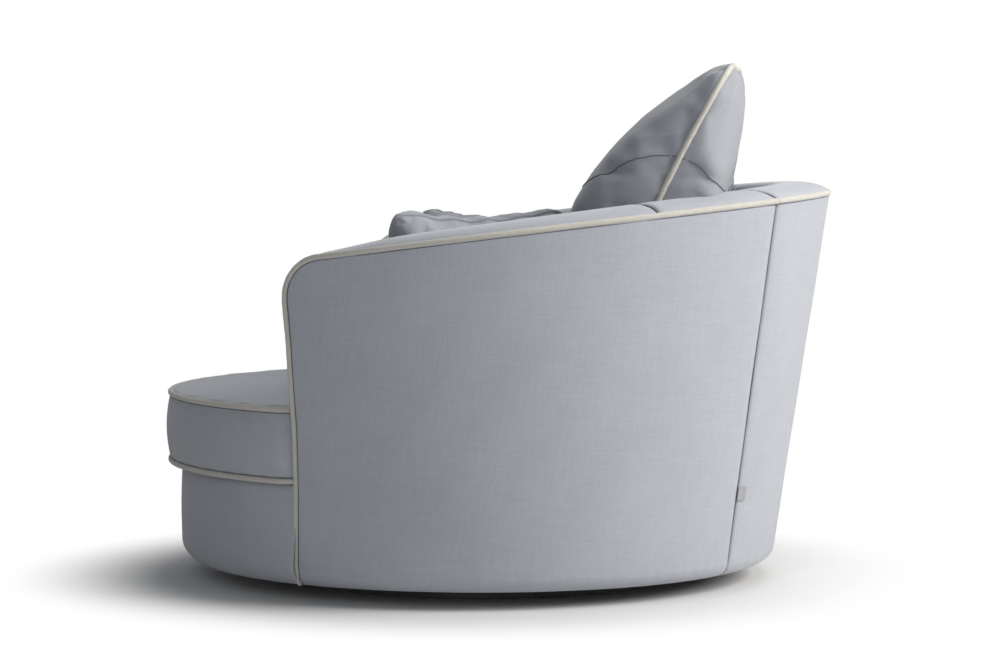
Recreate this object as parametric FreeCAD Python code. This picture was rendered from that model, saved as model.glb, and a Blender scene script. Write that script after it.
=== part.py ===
import FreeCAD, Part
import math
import os

# Round swivel cuddle chair with a tub wall, a round overhanging seat cushion, a back pillow
# and two scatter cushions. Millimetres. +Z is up, the chair faces -Y and the origin is on
# the swivel axis at floor level. Angles are measured from the rear (+Y) towards +X.

# Swivel plinth and bearing
FLOOR_PAD_INSET = 13.0
FLOOR_PAD_T = 3.0
PLINTH_INSET = 172.0
PLINTH_T = 17.0
BEARING_PLATE_R = 150.0
BEARING_PLATE_T = 2.0
GLIDE_R = 130.0
GLIDE_WIDTH = 26.0
GLIDE_T = 8.0
GLIDE_PLAY = 0.1
PIVOT_R = 8.0
PIVOT_HEAD_R = 14.0
PIVOT_HEAD_T = 1.8
RUNNING_GAP = 0.05
SCREW_HEAD_R = 6.0
SCREW_HEAD_T = 2.4
SCREW_CIRCLE_R = 90.0
SCREW_COUNT = 4

# Fabric, wadding and general gaps
COVER_T = 2.0
LINING_T = 5.0
FIT = 0.3
CLOTH_T = 0.8
FLAT = 1e-6

# Round base and deck
PLY_T = 18.0
BASE_PROUD = 17.0
BASE_ROUND = 40.0
FOOT_FLATS = 3
HEM_WIDTH = 28.0
FRONT_RAIL_T = 18.0
DECK_RING_TOP = 194.0
DECK_RING_WIDTH = 167.0
WEBBING_WIDTH = 60.0
WEBBING_T = 1.8
WEBBING_PITCH = 130.0
WEBBING_COUNT = 5
WEBBING_LAP = 45.0
DECK_PAD_T = 5.4
DUST_CLOTH_LAP = 72.0
DUST_CLOTH_GAP = 6.0

# Tub wall
SHELL_R = 520.0
WALL_FOOT_T = 55.0
SHELL_FLARE = 0.153
SHELL_ROUND = 25.0
INNER_FLARE = 0.094
ARM_END = 118.3
SEAM_OUTSIDE = 30.0
FRONT = 180.0
QUARTER = 90.0
WALL_STEP = 9.0
SEAM_ROLL = 56.0
RIM_REAR = 692.0
RIM_SIDE_DROP = 62.0
RIM_FRONT_DROP = 102.0
ARM_CORNER_R = 45.0
ARM_CORNER_STEPS = 4
ROLL_INSET = 52.0
ROLL_RISE = 18.0
ROLL_FLATS = 2
COVER_TUCK = 1.0
RIB_T = 18.0
RIB_DEPTH = 36.0
RIB_FOOT_IN = 52.0
RIB_PITCH = 18.0
RIBS_PER_SIDE = 6
RAIL_HEIGHT = 26.0
RAIL_DROP = 12.0
RAIL_GAP = 30.0
ARM_PAD_T = 7.4
ARM_BOARD_T = 15.0
FOAM_SLACK = 1.4

# Piping
PIPING_R = 4.5
PIPING_SIDES = 6
PIPING_LIFT = 0.8

# Seat cushion
SEAT_OVERHANG = 23.0
SEAT_BULGE = 5.0
SEAT_HEIGHT = 120.0
SEAT_CROWN = 28.0
SEAT_EAR_R = 34.0
SEAT_EAR_MIN = 8.0
SEAT_CREASE_R = 6.0
SEAT_CREASE_MAX = 30.0
SEAT_WALL_GAP = 4.0
REAR_STEPS = 15
FRONT_STEPS = 10
EAR_STEPS = 5
CREASE_STEPS = 2

# Back pillow
PILLOW_SIDE_GAP = 49.0
PILLOW_HEIGHT = 660.0
PILLOW_BOW = 16.0
PILLOW_FRONT = 170.0
PILLOW_REAR = 108.0
PILLOW_LEAN = 27.0
PILLOW_SET_FORWARD = 316.0

# Form of every loose cushion's outline
CUSHION_STEPS = 32
CUSHION_SQUARE = 0.36

# Scatter cushions
SCATTER_SIZE = 332.0
SCATTER_BOW = 14.0
SCATTER_DEPTH = 58.0
SCATTER_LEAN = 24.0
SCATTER_YAW = 17.0
SCATTER_SET_IN = 166.0
SCATTER_FOOT_Y = -66.0

# Label tab
LABEL_WIDTH = 19.0
LABEL_HEIGHT = 23.0
LABEL_T = 1.4
LABEL_Z = 152.0

# Radii and widths that follow from the sizes above
inner_r = SHELL_R - WALL_FOOT_T
base_r = SHELL_R + BASE_PROUD
seat_r = base_r + SEAT_OVERHANG
plinth_r = base_r - PLINTH_INSET
floor_pad_r = plinth_r - FLOOR_PAD_INSET
dust_cloth_r = base_r - BASE_ROUND - DUST_CLOTH_LAP
pillow_width = 2 * (inner_r - PILLOW_SIDE_GAP)
pillow_foot_y = inner_r - PILLOW_SET_FORWARD
scatter_foot_x = inner_r - SCATTER_SET_IN
rim_side = RIM_REAR - RIM_SIDE_DROP
rim_front = RIM_REAR - RIM_FRONT_DROP

# Heights that follow from the sizes above
plinth_top = FLOOR_PAD_T + PLINTH_T
lower_plate_top = plinth_top + BEARING_PLATE_T
upper_plate_bottom = lower_plate_top + GLIDE_T + GLIDE_PLAY
upper_plate_top = upper_plate_bottom + BEARING_PLATE_T
base_board_z = upper_plate_top
foot_z = base_board_z - COVER_T - FIT
dust_cloth_z = foot_z - CLOTH_T - FIT
base_board_top = base_board_z + PLY_T
deck_ring_z = DECK_RING_TOP - PLY_T
webbing_top = DECK_RING_TOP + 2 * WEBBING_T
deck_pad_z = webbing_top + FIT
deck_pad_top = deck_pad_z + DECK_PAD_T
deck_cloth_z = deck_pad_top + FIT
deck_top = deck_cloth_z + COVER_T
seat_z = deck_top + FIT
seat_piping_low = seat_z + PIPING_R
seat_piping_high = seat_piping_low + SEAT_HEIGHT
seat_top = seat_piping_high + SEAT_CROWN
front_rail_r = base_r - BASE_ROUND - FIT
deck_hole_r = front_rail_r - DECK_RING_WIDTH
rear_board_r = SHELL_R - SHELL_ROUND
foam_end = COVER_T + ARM_PAD_T + ARM_BOARD_T + 3 * FIT
facet = math.cos(math.radians(WALL_STEP / 2))
deck_step_angle = ARM_END + math.degrees(2 * FIT / base_r)
board_step_angle = ARM_END - math.degrees((COVER_T + ARM_PAD_T + 3 * FIT) / SHELL_R)


def polar(radius, angle, z):
    a = math.radians(angle)
    return FreeCAD.Vector(radius * math.sin(a), radius * math.cos(a), z)


def outer_radius(z):
    return SHELL_R + SHELL_FLARE * (z - foot_z)


def inner_radius(z):
    return inner_r + INNER_FLARE * (z - DECK_RING_TOP)


def rim_height(angle):
    # Height of the wall's piped edge: a curve through its front, side and rear heights.
    y = math.cos(math.radians(angle))
    y_front = math.cos(math.radians(ARM_END))
    front = y * (y - 1) / (y_front * (y_front - 1)) * rim_front
    side = (y - y_front) * (y - 1) / y_front * rim_side
    rear = y * (y - y_front) / (1 - y_front) * RIM_REAR
    return front + side + rear


class Station:
    """One upright radial plane through the wall, with the rim height there.

    Near the arm's front the rim comes down round the top corner, so a station there also
    has its distance behind the arm's front face.
    """

    def __init__(self, angle, distance=ARM_CORNER_R):
        self.angle = angle
        self.run = ARM_CORNER_R - min(distance, ARM_CORNER_R)
        self.rim = self.rim_inside(0.0)

    def rim_inside(self, offset):
        """Height of a line that follows the rim at this offset inside it."""
        reach = math.sqrt(max((ARM_CORNER_R - offset) ** 2 - self.run ** 2, 0.0))
        return rim_height(self.angle) - ARM_CORNER_R + reach

    def place(self, point):
        return polar(point[0], self.angle, point[1])


def arm_angle(distance):
    return ARM_END - math.degrees(distance / outer_radius(rim_front))


def wall_stations(start, end, step=WALL_STEP):
    count = max(2, int(math.ceil((end - start) / step)) + 1)
    return [Station(start + (end - start) * i / (count - 1)) for i in range(count)]


def arm_stations(start, last):
    # Even steps along the arm, then closer ones round its top corner, down to distance last.
    closer = (ARM_CORNER_R, foam_end, 0.27 * ARM_CORNER_R, 0.11 * ARM_CORNER_R)
    near = [d for d in closer if d > last + 0.5] + [last]
    return rail_stations(start) + [Station(arm_angle(d), d) for d in near]


def rail_stations(start):
    return wall_stations(start, arm_angle(ARM_CORNER_R + RAIL_GAP))


def roll_points(rim, inset, edge):
    """The rolled top of the wall in a radial plane, drawn in by inset.

    The points run from radius edge beside the piping, over the crown, to the top of the
    straight inner face.
    """
    crown_s = outer_radius(rim) - ROLL_INSET
    crown_z = rim + ROLL_RISE
    out_r = (ROLL_INSET ** 2 + ROLL_RISE ** 2) / (2 * ROLL_RISE)
    slope = math.atan(INNER_FLARE)
    room = crown_s - inner_radius(crown_z)
    in_r = room * math.cos(slope) / (1 - INNER_FLARE * math.cos(slope))
    points = []
    first = math.asin((edge - crown_s) / (out_r - inset))
    for i in range(ROLL_FLATS):
        turn = first * (1 - i / ROLL_FLATS)
        points.append((out_r, turn))
    for i in range(2 * ROLL_FLATS + 1):
        points.append((in_r, -(math.pi / 2 - slope) * i / (2 * ROLL_FLATS)))
    return [(crown_s + (r - inset) * math.sin(t), crown_z - r + (r - inset) * math.cos(t))
            for r, t in points]


def ring(points):
    return Part.makePolygon(list(points) + [points[0]])


def patch(a, b, c, d):
    """One flat face through four points, or two where they do not lie in a plane."""
    across = (b - a).cross(c - a).normalize()
    if abs(across.dot(d - a)) < FLAT:
        return [Part.Face(ring([a, b, c, d]))]
    return [Part.Face(ring([a, b, c])), Part.Face(ring([a, c, d]))]


def skin(rings):
    """A solid through closed lists of points, each with as many points as the next."""
    faces = [Part.Face(ring(rings[0])), Part.Face(ring(rings[-1]))]
    for one, two in zip(rings, rings[1:]):
        for i in range(len(one)):
            faces += patch(one[i - 1], one[i], two[i], two[i - 1])
    solid = Part.Solid(Part.Shell(faces))
    if solid.Volume < 0:
        solid.reverse()
    return solid


def loft(stations, profile_at):
    return skin([[st.place(p) for p in profile_at(st)] for st in stations])


def left_of(shape):
    return shape.mirror(FreeCAD.Vector(0, 0, 0), FreeCAD.Vector(1, 0, 0))


def disc(radius, z, thickness):
    return Part.makeCylinder(radius, thickness, FreeCAD.Vector(0, 0, z))


# Swivel plinth

def make_floor_pad():
    return disc(floor_pad_r, 0, FLOOR_PAD_T)


def make_plinth():
    body = disc(plinth_r, FLOOR_PAD_T, PLINTH_T)
    return body.cut(disc(PIVOT_HEAD_R + FIT, FLOOR_PAD_T - 1, PLINTH_T + 2))


def bearing_plate(z):
    plate = disc(BEARING_PLATE_R, z, BEARING_PLATE_T)
    return plate.cut(disc(PIVOT_R + RUNNING_GAP, z - 1, BEARING_PLATE_T + 2))


def make_glide_ring():
    """The low-friction ring that the upper plate turns on."""
    ring = disc(GLIDE_R + GLIDE_WIDTH / 2, lower_plate_top, GLIDE_T)
    return ring.cut(disc(GLIDE_R - GLIDE_WIDTH / 2, lower_plate_top - 1, GLIDE_T + 2))


def make_pivot():
    """A flanged pin: its head is under the lower plate and its shaft guides the upper one."""
    bottom = plinth_top - PIVOT_HEAD_T
    shaft = disc(PIVOT_R, bottom, upper_plate_top - bottom)
    return shaft.fuse(disc(PIVOT_HEAD_R, bottom, PIVOT_HEAD_T)).removeSplitter()


def make_screw_heads(z):
    def head(at):
        corners = [polar(SCREW_HEAD_R, 60 * i, 0) + at for i in range(7)]
        return Part.Face(Part.makePolygon(corners)).extrude(FreeCAD.Vector(0, 0, SCREW_HEAD_T))

    places = [polar(SCREW_CIRCLE_R, 360.0 * i / SCREW_COUNT, z) for i in range(SCREW_COUNT)]
    return Part.makeCompound([head(at) for at in places])


# Round base and deck

def two_radius_face(front_r, rear_r, step_angle, z):
    """A flat face whose radius changes from rear_r to front_r at the arm ends."""
    a = step_angle
    edges = [
        Part.Arc(polar(rear_r, -a, z), polar(rear_r, -a / 2, z), polar(rear_r, 0, z)),
        Part.Arc(polar(rear_r, 0, z), polar(rear_r, a / 2, z), polar(rear_r, a, z)),
        Part.LineSegment(polar(rear_r, a, z), polar(front_r, a, z)),
        Part.Arc(polar(front_r, a, z), polar(front_r, FRONT, z), polar(front_r, -a, z)),
        Part.LineSegment(polar(front_r, -a, z), polar(rear_r, -a, z)),
    ]
    return Part.Face(Part.Wire([e.toShape() for e in edges]))


def two_radius_slab(front_r, rear_r, step_angle, z, thickness):
    face = two_radius_face(front_r, rear_r, step_angle, z)
    return face.extrude(FreeCAD.Vector(0, 0, thickness))


def front_sector(profile):
    """Turn a closed (radius, height) profile round the front, from arm to arm."""
    start = ARM_END + math.degrees((PIPING_R + PIPING_LIFT + FIT) / base_r)
    face = Part.Face(ring([polar(radius, start, z) for radius, z in profile]))
    sweep = 2 * (FRONT - start)
    return face.revolve(FreeCAD.Vector(0, 0, 0), FreeCAD.Vector(0, 0, -1), sweep)


def make_base_board():
    return two_radius_slab(front_rail_r, rear_board_r, board_step_angle, base_board_z, PLY_T)


def make_dust_cloth():
    cloth = disc(dust_cloth_r, dust_cloth_z, CLOTH_T)
    return cloth.cut(disc(BEARING_PLATE_R + DUST_CLOTH_GAP, dust_cloth_z - 1, CLOTH_T + 2))


def make_front_rail():
    low = base_board_top
    high = deck_ring_z
    inside = front_rail_r - FRONT_RAIL_T
    return front_sector([(inside, low), (front_rail_r, low), (front_rail_r, high), (inside, high)])


def foot_curve(centre, radius, first=0.0):
    """Points up the rounded lower edge, from turn first to where the side is upright."""
    turns = [math.radians(first + (90.0 - first) * i / FOOT_FLATS) for i in range(FOOT_FLATS + 1)]
    return [(centre[0] + radius * math.sin(a), centre[1] - radius * math.cos(a)) for a in turns]


def make_base_front_pad():
    centre = (base_r - BASE_ROUND, foot_z + BASE_ROUND)
    radius = (BASE_ROUND - COVER_T) * math.cos(math.radians(45 / FOOT_FLATS)) - FIT
    inside = front_rail_r + FIT
    first = math.degrees(math.asin((inside - centre[0]) / radius))
    edge = foot_curve(centre, radius, first)
    return front_sector(edge + [(edge[-1][0], webbing_top), (inside, webbing_top)])


def hem_profile(edge_r, rounding, thickness, hem, tops):
    """A skin that runs under the chair, round its lower edge and up to tops."""
    centre = (edge_r - rounding, foot_z + rounding)
    out = foot_curve(centre, rounding)
    back = foot_curve(centre, rounding - thickness)[::-1]
    under = [(centre[0] - hem, foot_z + thickness), (centre[0] - hem, foot_z)]
    return out + list(tops) + back + under


def make_base_front_cover():
    tops = ((base_r, deck_pad_top), (base_r - COVER_T, deck_pad_top))
    return front_sector(hem_profile(base_r, BASE_ROUND, COVER_T, HEM_WIDTH, tops))


def make_deck_ring():
    """A ply ring as wide as the ribs at the rear and the rail at the front, waisted at the arms."""
    waist = inner_radius(deck_ring_z) - 2 * FIT
    rear = two_radius_slab(waist, rib_inner(DECK_RING_TOP) - FIT, board_step_angle,
                           deck_ring_z, PLY_T)
    front = two_radius_slab(front_rail_r, waist, deck_step_angle, deck_ring_z, PLY_T)
    hole = disc(deck_hole_r, deck_ring_z - 1, PLY_T + 2)
    return rear.fuse(front).removeSplitter().cut(hole)


def make_webbing(along_x):
    straps = []
    z = DECK_RING_TOP + (WEBBING_T if along_x else 0.0)
    for i in range(WEBBING_COUNT):
        offset = (i - (WEBBING_COUNT - 1) / 2) * WEBBING_PITCH
        half = math.sqrt(deck_hole_r ** 2 - offset ** 2) + WEBBING_LAP
        strap = Part.makeBox(2 * half, WEBBING_WIDTH, WEBBING_T,
                             FreeCAD.Vector(-half, offset - WEBBING_WIDTH / 2, z))
        if not along_x:
            strap.rotate(FreeCAD.Vector(0, 0, 0), FreeCAD.Vector(0, 0, 1), 90)
        straps.append(strap)
    return Part.makeCompound(straps)


def make_deck_pad():
    inside = inner_radius(DECK_RING_TOP) * facet - FIT
    return two_radius_slab(base_r - COVER_T - FIT, inside, deck_step_angle, deck_pad_z, DECK_PAD_T)


def make_deck_cloth():
    inside = inner_radius(DECK_RING_TOP) * facet - FIT
    return two_radius_slab(base_r, inside, deck_step_angle, deck_cloth_z, COVER_T)


# Tub wall

def lining_inside():
    return COVER_T + FIT + LINING_T


def rib_outer(z):
    return outer_radius(z) * facet - lining_inside() - FIT


def rib_inner(z):
    return rib_outer(z) - RIB_DEPTH


def rail_top(rim):
    return rim - RAIL_DROP


def make_outside_cover(stations):
    def profile(st):
        rim = st.rim_inside(PIPING_R + COVER_TUCK)
        tops = ((outer_radius(rim), rim), (outer_radius(rim) - COVER_T, rim))
        edge_r = SHELL_R + SHELL_FLARE * SHELL_ROUND
        return hem_profile(edge_r, SHELL_ROUND, COVER_T, HEM_WIDTH, tops)

    return loft(stations, profile)


def make_lining(stations):
    def profile(st):
        points = []
        for inset in (COVER_T + FIT, lining_inside()):
            ends = (foot_z + SHELL_ROUND, st.rim_inside(PIPING_R + COVER_TUCK))
            points.append([(outer_radius(z) - inset, z) for z in ends])
        return points[0] + points[1][::-1]

    return loft(stations, profile)


def make_inner_cover(stations):
    foot = DECK_RING_TOP + FIT

    def profile(st):
        edge = outer_radius(st.rim) - PIPING_R - 2 * FIT
        front = roll_points(st.rim, 0.0, edge) + [(inner_radius(foot), foot)]
        back = roll_points(st.rim, COVER_T, edge) + [(inner_radius(foot) + COVER_T, foot)]
        return front + back[::-1]

    return loft(stations, profile)


def make_foam(stations):
    """Inner wall foam that also rolls over the top rail."""
    foot = DECK_RING_TOP + FIT
    inset = COVER_T + FOAM_SLACK

    def profile(st):
        over = rail_top(st.rim) + FIT
        edge = rib_outer(over)
        front = roll_points(st.rim, inset, edge) + [(inner_radius(foot) + inset, foot)]
        behind = [(rib_inner(foot) - FIT, foot), (rib_inner(over) - FIT, over), (edge, over)]
        return front + behind

    return loft(stations, profile)


def make_top_rail(stations):
    def profile(st):
        high = rail_top(st.rim)
        low = high - RAIL_HEIGHT
        a = (rib_inner(low), low)
        b = (rib_outer(low), low)
        c = (rib_outer(high), high)
        d = (rib_inner(high), high)
        return [a, b, c, d]

    return loft(stations, profile)


def rib(angle):
    half_turn = math.degrees(RIB_T / SHELL_R)
    rim = min(rim_height(abs(angle) + half_turn), rim_height(angle))
    top = rail_top(rim) - RAIL_HEIGHT - FIT
    shoulder = deck_ring_z
    splay = foot_z + 2.4 * SHELL_ROUND
    points = [
        (rear_board_r - RIB_FOOT_IN, base_board_top), (rear_board_r - FIT, base_board_top),
        (rib_outer(splay), splay), (rib_outer(top), top), (rib_inner(top), top),
        (rib_inner(DECK_RING_TOP), DECK_RING_TOP), (rib_inner(DECK_RING_TOP), shoulder),
        (rear_board_r - RIB_FOOT_IN, shoulder)]
    face = Part.Face(Part.makePolygon([polar(s, 0, z) for s, z in points + points[:1]]))
    plate = face.extrude(FreeCAD.Vector(RIB_T, 0, 0))
    plate.translate(FreeCAD.Vector(-RIB_T / 2, 0, 0))
    plate.rotate(FreeCAD.Vector(0, 0, 0), FreeCAD.Vector(0, 0, 1), -angle)
    return plate


def make_ribs():
    return Part.makeCompound([rib(i * RIB_PITCH) for i in range(-RIBS_PER_SIDE, RIBS_PER_SIDE + 1)])


def arm_slab(near, far, inset, foot, steps):
    """A full-height board or pad across the arm's front, between two distances behind its face."""
    stations = [Station(arm_angle(d), d) for d in
                [near + (far - near) * i / (steps - 1) for i in range(steps)]]

    def profile(st):
        edge = outer_radius(st.rim) - PIPING_R - FIT
        front = roll_points(st.rim, inset, edge) + [(inner_radius(foot) + inset, foot)]
        return front + [(outer_radius(foot) - PIPING_R - FIT, foot)]

    return loft(stations, profile)


def make_arm_front_cover():
    foot = foot_z + SHELL_ROUND
    return arm_slab(0.0, COVER_T, 0.0, foot, 2)


def make_arm_front_pad():
    near = COVER_T + FIT
    return arm_slab(near, near + ARM_PAD_T, COVER_T + FOAM_SLACK, base_board_top + FIT, 3)


def make_arm_front_board():
    near = COVER_T + ARM_PAD_T + 2 * FIT
    return arm_slab(near, near + ARM_BOARD_T, COVER_T + FOAM_SLACK, DECK_RING_TOP + FIT, 2)


def piping_section(centre, u, v):
    turns = [2 * math.pi * i / PIPING_SIDES for i in range(PIPING_SIDES)]
    return [centre + u * (PIPING_R * math.cos(a)) + v * (PIPING_R * math.sin(a)) for a in turns]


def piping_round(points, normal):
    """Piping along a closed list of points that lie in one plane."""
    sections = []
    for i, point in enumerate(points):
        along = (points[(i + 1) % len(points)] - points[i - 1]).normalize()
        sections.append(piping_section(point, along.cross(normal), normal))
    half = len(sections) // 2
    return skin(sections[:half + 1]).fuse(skin(sections[half:] + sections[:1])).removeSplitter()


def rim_piping(start, end):
    """Piping along the wall's edge."""
    up = FreeCAD.Vector(0, 0, 1)
    wires = []
    for st in wall_stations(start, end):
        centre = st.place((outer_radius(st.rim), st.rim + PIPING_LIFT))
        wires.append(piping_section(centre, polar(1, st.angle, 0), up))
    return skin(wires)


def arm_piping():
    """The stretch that goes over the arm's top corner and down its front edge."""
    forward = polar(1, ARM_END + QUARTER, 0)
    out = polar(1, ARM_END, 0)
    reach = ARM_CORNER_R + PIPING_LIFT
    sections = []
    for i in range(ARM_CORNER_STEPS + 1):
        a = math.radians(QUARTER * i / ARM_CORNER_STEPS)
        angle = arm_angle(ARM_CORNER_R - reach * math.sin(a))
        z = rim_height(angle) - ARM_CORNER_R + reach * math.cos(a)
        centre = polar(outer_radius(z), angle, z)
        normal = forward * math.sin(a) + FreeCAD.Vector(0, 0, math.cos(a))
        sections.append(piping_section(centre, out, normal))
    low = foot_z + SHELL_ROUND
    foot = polar(outer_radius(low), arm_angle(-PIPING_LIFT), low)
    run = skin([sections[-1], piping_section(foot, out, forward)])
    return skin(sections).fuse(run).removeSplitter()


def make_label():
    angle = SEAM_OUTSIDE - math.degrees(LABEL_WIDTH / 2 / SHELL_R)
    tab = Part.makeBox(LABEL_WIDTH, LABEL_T, LABEL_HEIGHT, FreeCAD.Vector(-LABEL_WIDTH / 2, 0, 0))
    tab.rotate(FreeCAD.Vector(0, 0, 0), FreeCAD.Vector(1, 0, 0), -math.degrees(math.atan(SHELL_FLARE)))
    tab.rotate(FreeCAD.Vector(0, 0, 0), FreeCAD.Vector(0, 0, 1), -angle)
    tab.translate(polar(outer_radius(LABEL_Z) + FIT, angle, LABEL_Z))
    return tab


# Seat cushion

def turn_of(point):
    return math.degrees(math.atan2(point.x, point.y))


def arc_points(centre, radius, start, end, count):
    return [centre + polar(radius, start + (end - start) * i / count, 0) for i in range(count + 1)]


def seat_outline(front_r, rear_r, held, z):
    """Closed plan of the seat: a front arc past the arms and a smaller arc inside the tub.

    Each side goes from the rear round the tub, out along the arm's front and round the ear.
    It is held back from the arm by SEAT_WALL_GAP and then drawn in by held.
    """
    u = polar(1, ARM_END, 0)
    n = polar(1, ARM_END + QUARTER, 0)
    shift = SEAT_WALL_GAP + held
    ear = max(SEAT_EAR_R - held, SEAT_EAR_MIN)
    crease = min(SEAT_CREASE_R + held, SEAT_CREASE_MAX)
    inward = math.sqrt((rear_r + crease) ** 2 - (shift - crease) ** 2)
    crease_centre = u * inward + n * (shift - crease)
    along = math.sqrt((front_r - ear) ** 2 - (shift + ear) ** 2)
    ear_centre = u * along + n * (shift + ear)
    crease_turn = turn_of(crease_centre)
    ear_turn = turn_of(ear_centre)
    middle = FreeCAD.Vector(0, 0, 0)
    side = arc_points(middle, rear_r, 0, crease_turn, REAR_STEPS)
    side += arc_points(crease_centre, crease, crease_turn + FRONT, ARM_END + QUARTER, CREASE_STEPS)[1:]
    side += arc_points(ear_centre, ear, ARM_END - QUARTER, ear_turn, EAR_STEPS)
    side += arc_points(middle, front_r, ear_turn, FRONT, FRONT_STEPS)[1:]
    other = [FreeCAD.Vector(-p.x, p.y, 0) for p in side[1:-1]]
    return [p + FreeCAD.Vector(0, 0, z) for p in side + other[::-1]]


def seat_wall_r(z):
    return inner_radius(z) * facet - SEAT_WALL_GAP


def seat_section(inset, z):
    # The boxing bulges only where the seat stands free in front of the arms.
    held = max(inset, 0.0)
    rear_r = seat_wall_r(min(z, seat_piping_high)) - held
    return seat_outline(seat_r - inset, rear_r, held, z)


def make_seat_cushion():
    low, high = seat_piping_low, seat_piping_high
    lip = PIPING_R + 0.5
    levels = [(seat_z, 11.0), (low + lip, 7.0), ((low + high) / 2, -SEAT_BULGE),
              (high - lip, 7.0), (high + lip, 12.0)]
    for share, inset in ((0.6, 55.0), (0.9, 105.0), (1.0, 170.0)):
        levels.append((high + lip + share * (SEAT_CROWN - lip), inset))
    return skin([seat_section(inset, z) for z, inset in levels])


def make_seat_piping(z):
    return piping_round(seat_section(PIPING_R, z), FreeCAD.Vector(0, 0, 1))


# Pillow and scatter cushions

def cushion_outline(width, height, bow, depth, z_middle):
    """Upright closed outline at one depth: round corners and sides that are drawn in by bow."""
    points = []
    for i in range(CUSHION_STEPS):
        a = 2 * math.pi * (i + 0.5) / CUSHION_STEPS
        x = math.copysign(abs(math.cos(a)) ** CUSHION_SQUARE, math.cos(a))
        z = math.copysign(abs(math.sin(a)) ** CUSHION_SQUARE, math.sin(a))
        half_x = width / 2 - bow * (1 - z * z)
        half_z = height / 2 - bow * (1 - x * x)
        points.append(FreeCAD.Vector(x * half_x, depth, z_middle + z * half_z))
    return points


def cushion_body(width, height, bow, front, rear):
    """A stuffed form, fullest in the middle and thin at its piped edge."""
    seam = 2 * (PIPING_R + FIT)
    fullness = ((0.2, 1.0), (0.67, 0.82), (0.92, 0.42), (1.0, 0.0))
    levels = [(size, -front * full) for size, full in fullness]
    levels += [(size, rear * full) for size, full in fullness[-2::-1]]
    wires = []
    for size, depth in levels:
        across, up = size * (width - 2 * seam), size * (height - 2 * seam)
        wires.append(cushion_outline(across, up, size * bow, depth, height / 2))
    return skin(wires)


def cushion_piping(width, height, bow):
    points = cushion_outline(width - 2 * PIPING_R, height - 2 * PIPING_R, bow, 0.0, height / 2)
    return piping_round(points, FreeCAD.Vector(0, 1, 0))


def stand_pillow(shape):
    shape.rotate(FreeCAD.Vector(0, 0, 0), FreeCAD.Vector(1, 0, 0), -PILLOW_LEAN)
    shape.translate(FreeCAD.Vector(0, pillow_foot_y, seat_top + FIT))
    return shape


def lean_scatter(shape, side):
    # The cushion's front face looks at the sitter's place; its top leans out on the arm.
    shape.rotate(FreeCAD.Vector(0, 0, 0), FreeCAD.Vector(1, 0, 0), -SCATTER_LEAN)
    shape.rotate(FreeCAD.Vector(0, 0, 0), FreeCAD.Vector(0, 0, 1), -90 * side)
    shape.rotate(FreeCAD.Vector(0, 0, 0), FreeCAD.Vector(0, 0, 1), SCATTER_YAW * side)
    shape.translate(FreeCAD.Vector(scatter_foot_x * side, SCATTER_FOOT_Y, seat_top + FIT))
    return shape


def stand_on_seat(parts, body, piping, names):
    """Lower a leaning cushion and its piping together until they stand just clear of the seat."""
    rise = seat_top + FIT - min(body.BoundBox.ZMin, piping.BoundBox.ZMin)
    for name, shape in zip(names, (body, piping)):
        shape.translate(FreeCAD.Vector(0, 0, rise))
        parts[name] = shape


def make_pillows(parts):
    body = cushion_body(pillow_width, PILLOW_HEIGHT, PILLOW_BOW, PILLOW_FRONT, PILLOW_REAR)
    piping = cushion_piping(pillow_width, PILLOW_HEIGHT, PILLOW_BOW)
    names = ("back_pillow", "back_pillow_piping")
    stand_on_seat(parts, stand_pillow(body), stand_pillow(piping), names)
    for name, side in (("right", 1), ("left", -1)):
        size, depth = SCATTER_SIZE, SCATTER_DEPTH
        body = lean_scatter(cushion_body(size, size, SCATTER_BOW, depth, depth), side)
        piping = lean_scatter(cushion_piping(size, size, SCATTER_BOW), side)
        names = ("scatter_cushion_" + name, "scatter_piping_" + name)
        stand_on_seat(parts, body, piping, names)


def make_wall(parts):
    gap = math.degrees(FIT / 2 / inner_r)
    back_out = wall_stations(-SEAM_OUTSIDE + gap, SEAM_OUTSIDE - gap)
    parts["outside_back_cover"] = make_outside_cover(back_out)
    parts["outside_back_lining"] = make_lining(back_out)
    parts["inside_back_cover"] = make_inner_cover(back_out)
    back_in = wall_stations(-SEAM_ROLL + gap, SEAM_ROLL - gap)
    parts["back_foam"] = make_foam(back_in)
    parts["back_top_rail"] = make_top_rail(back_in)
    parts["back_rim_piping"] = rim_piping(-SEAM_OUTSIDE, SEAM_OUTSIDE)
    behind_face = COVER_T + FIT
    pieces = {
        "outside_cover": make_outside_cover(arm_stations(SEAM_OUTSIDE + gap, PIPING_R + 2 * FIT)),
        "outside_lining": make_lining(arm_stations(SEAM_OUTSIDE + gap, foam_end)),
        "corner_cover": make_inner_cover(wall_stations(SEAM_OUTSIDE + gap, SEAM_ROLL - gap)),
        "arm_cover": make_inner_cover(arm_stations(SEAM_ROLL + gap, behind_face)),
        "arm_foam": make_foam(arm_stations(SEAM_ROLL + gap, foam_end)),
        "arm_top_rail": make_top_rail(rail_stations(SEAM_ROLL + gap)),
        "arm_rim_piping": rim_piping(SEAM_OUTSIDE, arm_angle(ARM_CORNER_R)),
        "arm_front_piping": arm_piping(),
        "arm_front_cover": make_arm_front_cover(),
        "arm_front_pad": make_arm_front_pad(),
        "arm_front_board": make_arm_front_board(),
    }
    for name, shape in pieces.items():
        parts[name + "_right"] = shape
        parts[name + "_left"] = left_of(shape)


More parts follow.
